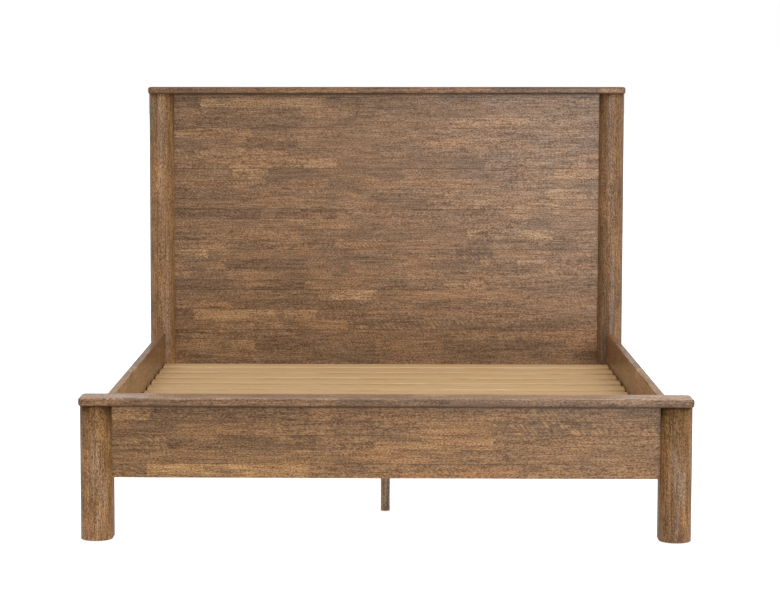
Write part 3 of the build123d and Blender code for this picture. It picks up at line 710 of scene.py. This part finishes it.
class BED_OT_caps(bpy.types.Operator):
    """The caps of headboard and footboard, with rounded corners and eased edges"""

    bl_idname = "bed.caps"
    bl_label = "Caps"

    def execute(self, context):
        edges = context.scene.bed_edges
        for end in ENDS:
            low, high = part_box(f"{end}board_cap")
            bm = box_mesh(low, high)
            rounded(bm, edges_along(bm, 2), edges.cap_corner, 8)
            rims = rim_edges(bm, 2, low.z) + rim_edges(bm, 2, high.z)
            rounded(bm, rims, edges.cap_edge, 5)
            # The cap's material paints light on the footboard cap's top, shade on the headboard cap's top,
            # and shade under the rounding.
            material = get_material(
                f"Stained_timber_{end}board_cap", stained_timber, "X", NARROW_STAVE, 0.0, linear(CAP_TINT),
                figure=0.0, top_tint=CAP_PAINTED_TOP_LIGHT[end])
            make_piece(f"{end}board_cap_timber", bm, material, "frame", [f"{end}board_cap"])
        return {"FINISHED"}


def panel_piece(node, name, material, inner_x, seam):
    """One board of a panel, from post to post, with its edges eased where it meets the next."""
    low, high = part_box(node)
    low.x, high.x = -inner_x, inner_x
    if node not in TOP_BOARDS:
        high.z -= TONGUE
    bm = box_mesh(low, high)
    rounded(bm, edges_along(bm, 0), seam, 2)
    return make_piece(name, bm, material, "frame", [node])


class BED_OT_headboard_panel(bpy.types.Operator):
    """The boards of the headboard, from the cap down to the lower rail"""

    bl_idname = "bed.headboard_panel"
    bl_label = "Headboard panel"

    def execute(self, context):
        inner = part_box("headboard_post_right")[0].x + BOARD_END
        seam_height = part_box("headboard_board_1")[0].z
        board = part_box("headboard_board_1")[0].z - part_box("headboard_board_2")[0].z
        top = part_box("headboard_board_1")[1].z
        # The top boards get painted shade just under the cap.
        material = get_material(
            "Stained_timber_headboard", stained_timber, "X", board / HEADBOARD_STAVES, seam_height,
            linear(HEADBOARD_TINT), corner=[top - depth for depth in HEADBOARD_UNDER_CAP_SHADE])
        for node in HEADBOARD_BOARDS:
            panel_piece(node, f"{node}_timber", material, inner, context.scene.bed_edges.board_seam)
        return {"FINISHED"}


class BED_OT_footboard_panel(bpy.types.Operator):
    """The two boards of the footboard"""

    bl_idname = "bed.footboard_panel"
    bl_label = "Footboard panel"

    def execute(self, context):
        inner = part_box("footboard_post_right")[0].x + BOARD_END
        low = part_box("footboard_board_lower")[0].z
        seam_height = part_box("footboard_board_upper")[0].z
        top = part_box("footboard_board_upper")[1].z
        # The top board gets painted shade just under the cap.
        material = get_material(
            "Stained_timber_footboard", stained_timber, "X", (seam_height - low) / FOOTBOARD_STAVES,
            seam_height, linear(FOOTBOARD_TINT), seed=FOOTBOARD_SEED,
            corner=[top - depth for depth in FOOTBOARD_UNDER_CAP_SHADE])
        for node in ("footboard_board_upper", "footboard_board_lower"):
            panel_piece(node, f"{node}_timber", material, inner, context.scene.bed_edges.board_seam)
        return {"FINISHED"}


class BED_OT_side_rails(bpy.types.Operator):
    """The two side rails"""

    bl_idname = "bed.side_rails"
    bl_label = "Side rails"

    def execute(self, context):
        material = get_material(
            "Stained_timber_rails", stained_timber, "Y", NARROW_STAVE, 0.0, linear(RAIL_TINT))
        for side in SIDES:
            node = f"side_rail_{side}"
            bm = box_mesh(*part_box(node))
            rounded(bm, edges_along(bm, 1), context.scene.bed_edges.rail, 3)
            make_piece(f"{node}_timber", bm, material, "frame", [node])
        return {"FINISHED"}


class BED_OT_centre_legs(bpy.types.Operator):
    """The three board legs under the centre beam"""

    bl_idname = "bed.centre_legs"
    bl_label = "Centre legs"

    def execute(self, context):
        material = get_material(
            "Stained_timber_legs", stained_timber, "Z", LEG_STAVE, -LEG_STAVE / 2, LEG_TINT)
        dress([f"centre_leg_{name}" for name in LEGS], material)
        return {"FINISHED"}


class BED_OT_slats(bpy.types.Operator):
    """Pine slats, and the pine cleats, beam and battens"""

    bl_idname = "bed.slats"
    bl_label = "Slats and inner timber"

    def execute(self, context):
        across = get_material("Pine_slats", pale_timber, "FLAT", "#d9b98c", "#c29a68")
        along = get_material("Pine_inner_timber", pale_timber, "Y", *INNER_PINE)
        upright = get_material("Pine_battens", pale_timber, "Z", *INNER_PINE)
        dress(SLATS, across)
        dress(["slat_cleat_left", "slat_cleat_right", "centre_beam"], along)
        dress(["headboard_batten_left", "headboard_batten_right"], upright)
        dress(["cap_dowels"], get_material("Beech_dowels", pale_timber, "Z", "#cfae84", "#b8926a"))
        return {"FINISHED"}


class BED_OT_fittings(bpy.types.Operator):
    """Steel plates, hangers and screws, brass inserts and nylon feet"""

    bl_idname = "bed.fittings"
    bl_label = "Fittings"

    def execute(self, context):
        plates = [
            f"{kind}_{end}_{side}"
            for kind in ("rail_hook", "post_plate")
            for end in ENDS
            for side in SIDES
        ]
        hangers = [f"beam_hanger_{end}" for end in ENDS]
        dress(plates + hangers, get_material("Zinc_plated_steel", mottled_metal, "#b9bcc0", 0.38))
        screws = [f"{kind}_screws" for kind in SCREWED]
        dress(screws, get_material("Yellow_zinc_screws", mottled_metal, "#c3ad74", 0.34))
        dress(["foot_inserts"], get_material("Turned_brass", mottled_metal, "#c9a24e", 0.30))
        feet = [f"levelling_foot_{name}" for name in LEGS]
        dress(feet + ["post_glides"], get_material("Moulded_nylon", moulded_nylon))
        return {"FINISHED"}


# ---- Studio ----
WHITE = (1, 1, 1, 1)
FLOOR_RADIUS = 60.0
FLOOR_GLOW = 0.80
OVERHEAD_SPREAD = math.radians(50)
OVERHEAD_TURN = (math.radians(28), 0, math.radians(-6))
FRONT_PLACE = (1.5, -9.0, 1.0)
FRONT_WIDTH = 0.5
FRONT_HEIGHT = 2.0
SIDE_PLACE = (2.4, -2.4, 1.8)
SIDE_AIM = (0.0, 1.0, 0.7)
SIDE_WIDTH = 2.0
UPRIGHT = math.radians(90)
VIEW_END = 200


def studio_floor(name, colour):
    """Matt pale floor, lit up so that it blends into the background."""
    material, tree, shader = new_material(name)
    shader.inputs["Base Color"].default_value = colour
    shader.inputs["Roughness"].default_value = 1.0
    shader.inputs["Emission Color"].default_value = WHITE
    seen = add_node(tree, "ShaderNodeLightPath").outputs["Is Camera Ray"]
    tree.links.new(maths(tree, "MULTIPLY", seen, FLOOR_GLOW), shader.inputs["Emission Strength"])
    return material


def add_object(name, data, matrix=None):
    """An object in the scene, placed by a matrix."""
    made = bpy.data.objects.new(name, data)
    if matrix is not None:
        made.matrix_world = matrix
    bpy.context.scene.collection.objects.link(made)
    return made


def make_floor(studio):
    """A round floor that reaches past the view."""
    bm = bmesh.new()
    bmesh.ops.create_circle(bm, cap_ends=True, segments=64, radius=FLOOR_RADIUS)
    mesh = bpy.data.meshes.new("Studio_floor")
    bm.to_mesh(mesh)
    bm.free()
    mesh.materials.append(studio_floor("Pale_studio_floor", studio.floor))
    floor = add_object("Studio_floor", mesh)


def make_world(studio):
    """A room that lights softly from all round, and a white background for the camera."""
    world = bpy.data.worlds.new("Studio_world")
    world.use_nodes = True
    tree = world.node_tree
    tree.nodes.clear()
    sky = add_node(tree, "ShaderNodeBackground", {"Color": WHITE, "Strength": studio.sky})
    white = add_node(tree, "ShaderNodeBackground", {"Color": WHITE, "Strength": 1.0})
    ray = add_node(tree, "ShaderNodeLightPath").outputs["Is Camera Ray"]
    mix = add_node(tree, "ShaderNodeMixShader", {0: ray, 1: sky.outputs[0], 2: white.outputs[0]})
    add_node(tree, "ShaderNodeOutputWorld", {0: mix.outputs[0]})
    bpy.context.scene.world = world


def make_lights(studio):
    """A broad light overhead, a narrow upright one in front and a wide one on the right."""
    sun = bpy.data.lights.new("Overhead_softbox", "SUN")
    sun.energy = studio.overhead
    sun.angle = OVERHEAD_SPREAD
    add_object("Overhead_softbox", sun).rotation_euler = OVERHEAD_TURN

    front = bpy.data.lights.new("Front_softbox", "AREA")
    front.shape = "RECTANGLE"
    front.size = FRONT_WIDTH
    front.size_y = FRONT_HEIGHT
    front.energy = studio.front
    place = Matrix.Translation(FRONT_PLACE) @ Matrix.Rotation(UPRIGHT, 4, "X")
    add_object("Front_softbox", front, place)

    side = bpy.data.lights.new("Side_softbox", "AREA")
    side.size = SIDE_WIDTH
    side.energy = studio.side
    aim = (Vector(SIDE_AIM) - Vector(SIDE_PLACE)).to_track_quat("-Z", "Y").to_matrix().to_4x4()
    add_object("Side_softbox", side, Matrix.Translation(SIDE_PLACE) @ aim)


def make_camera(studio):
    """The camera, in front of the footboard and a little above the headboard."""
    lens = bpy.data.cameras.new("Camera")
    lens.lens = studio.lens
    lens.clip_end = VIEW_END
    lens.shift_x = studio.shift
    place = Vector((studio.offset, CAD_LOW.y - studio.distance, studio.height))
    turn = Matrix.Rotation(studio.turn, 4, "Z")
    tilt = Matrix.Rotation(UPRIGHT - studio.pitch, 4, "X")
    bpy.context.scene.camera = add_object("Camera", lens, Matrix.Translation(place) @ turn @ tilt)


class BED_OT_studio(bpy.types.Operator):
    """Pale floor, soft lights and the camera in front of the footboard"""

    bl_idname = "bed.studio"
    bl_label = "Studio"

    def execute(self, context):
        studio = context.scene.bed_studio
        context.scene.view_settings.view_transform = "Standard"
        make_floor(studio)
        make_world(studio)
        make_lights(studio)
        make_camera(studio)
        return {"FINISHED"}


class BED_PT_panel(bpy.types.Panel):
    """Bed frame pieces"""

    bl_idname = "BED_PT_panel"
    bl_label = "Wooden Bed Frame"
    bl_space_type = "VIEW_3D"
    bl_region_type = "UI"
    bl_category = "Bed Frame"

    def draw(self, context):
        for operator in OPERATORS:
            self.layout.operator(operator.bl_idname)
        for group in (context.scene.bed_timber, context.scene.bed_edges, context.scene.bed_studio):
            box = self.layout.box()
            for name in group.__annotations__:
                box.prop(group, name)


GROUPS = {"bed_timber": TimberSettings, "bed_edges": EdgeSettings, "bed_studio": StudioSettings}
OPERATORS = (
    BED_OT_posts,
    BED_OT_caps,
    BED_OT_headboard_panel,
    BED_OT_footboard_panel,
    BED_OT_side_rails,
    BED_OT_centre_legs,
    BED_OT_slats,
    BED_OT_fittings,
    BED_OT_studio,
)


def register():
    for group in GROUPS.values():
        bpy.utils.register_class(group)
    for operator in OPERATORS:
        bpy.utils.register_class(operator)
    bpy.utils.register_class(BED_PT_panel)
    for name, group in GROUPS.items():
        setattr(bpy.types.Scene, name, bpy.props.PointerProperty(type=group))


def unregister():
    for name in GROUPS:
        delattr(bpy.types.Scene, name)
    bpy.utils.unregister_class(BED_PT_panel)
    for operator in reversed(OPERATORS):
        bpy.utils.unregister_class(operator)
    for group in GROUPS.values():
        bpy.utils.unregister_class(group)


def main():
    """Builds every piece and the studio."""
    register()
    for operator in OPERATORS:
        family, name = operator.bl_idname.split(".")
        getattr(getattr(bpy.ops, family), name)()


if __name__ == "__main__":
    main()
